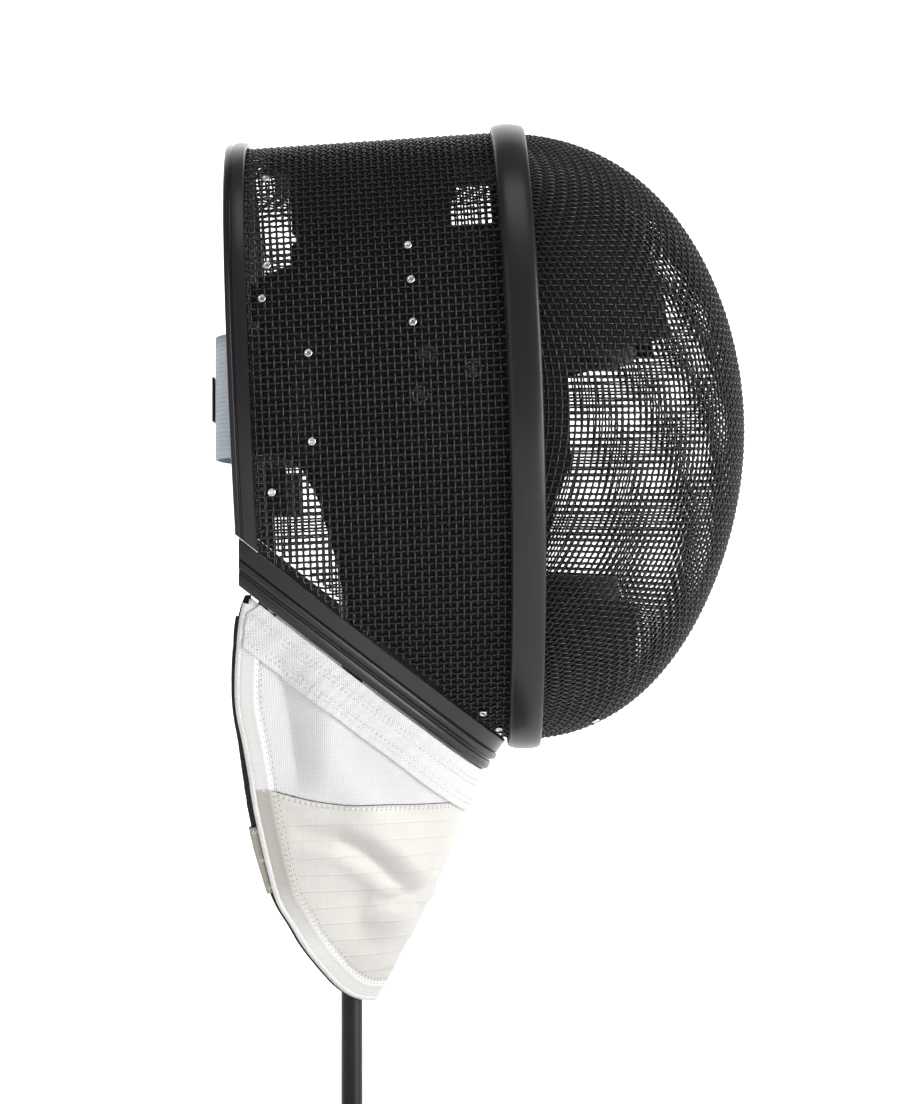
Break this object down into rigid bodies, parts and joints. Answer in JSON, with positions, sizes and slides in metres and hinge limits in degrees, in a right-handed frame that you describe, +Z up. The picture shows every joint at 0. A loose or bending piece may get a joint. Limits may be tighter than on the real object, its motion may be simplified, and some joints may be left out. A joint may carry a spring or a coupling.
{
  "type": "fencing mask on display stand",
  "caption": "Woven wire fencing mask with a moulded face band, edge trims, padded inside, rear strap and a white and silver bib, held on a plain rod stand with a round foot.",
  "frame": {"origin": "centre of the underside of the stand's round foot, on the axis of the rod", "axes": "+Z up along the rod, +X the way the face looks, +Y the wearer's left"},
  "size_m": [0.2891, 0.21, 0.5008],
  "materials": {
    "coated_wire": "satin black coat on woven steel wire",
    "moulded_trim": "semi-gloss black moulding",
    "white_cloth": "plain woven white polyester",
    "metal_cloth": "warm silver conductive cloth with a fine ripstop grid",
    "binding_tape": "off-white folded binding",
    "elastic": "ribbed beige elastic",
    "dark_webbing": "black webbing",
    "padding_cloth": "matte black padding cloth",
    "strap_cloth": "pale blue-grey elastic strap",
    "nickel": "bright nickel",
    "snap_plastic": "gloss black",
    "stand_paint": "satin black"
  },
  "bodies": {
    "root": {"back_strap": "strap_cloth", "bib_binding": "binding_tape", "bib_edging": "dark_webbing", "bib_lower_cloth": "metal_cloth", "bib_top_tape": "white_cloth", "bib_upper_cloth": "white_cloth", "chin_pad": "padding_cloth", "corner_tab_left": "dark_webbing", "corner_tab_right": "dark_webbing", "crown_mesh": "coated_wire", "elastic_keeper_left": "elastic", "elastic_keeper_right": "elastic", "face_band": "moulded_trim", "forehead_pad": "padding_cloth", "front_mesh": "coated_wire", "jaw_trim": "moulded_trim", "rear_trim": "moulded_trim", "rivet_chin_left": "nickel", "rivet_chin_right": "nickel", "rivet_pad_lower_left": "nickel", "rivet_pad_lower_right": "nickel", "rivet_pad_middle_left": "nickel", "rivet_pad_middle_right": "nickel", "rivet_pad_top_left": "nickel", "rivet_pad_top_right": "nickel", "rivet_rear_top_left": "nickel", "rivet_rear_top_right": "nickel", "rivet_rear_upper_left": "nickel", "rivet_rear_upper_right": "nickel", "rivet_strap_lower_left": "nickel", "rivet_strap_lower_right": "nickel", "rivet_strap_upper_left": "nickel", "rivet_strap_upper_right": "nickel", "rivet_tab_lower_left": "nickel", "rivet_tab_lower_right": "nickel", "rivet_tab_upper_left": "nickel", "rivet_tab_upper_right": "nickel", "side_pad_left": "padding_cloth", "side_pad_right": "padding_cloth", "snap_front_left": "snap_plastic", "snap_front_right": "snap_plastic", "snap_lower_left": "snap_plastic", "snap_lower_right": "snap_plastic", "snap_rear_left": "snap_plastic", "snap_rear_right": "snap_plastic", "stand_foot": "stand_paint", "stand_rest": "stand_paint", "stand_rod": "stand_paint", "strap_patch": "dark_webbing", "wall_tab_lower_left": "dark_webbing", "wall_tab_lower_right": "dark_webbing", "wall_tab_upper_left": "dark_webbing", "wall_tab_upper_right": "dark_webbing"}
  },
  "joints": []
}
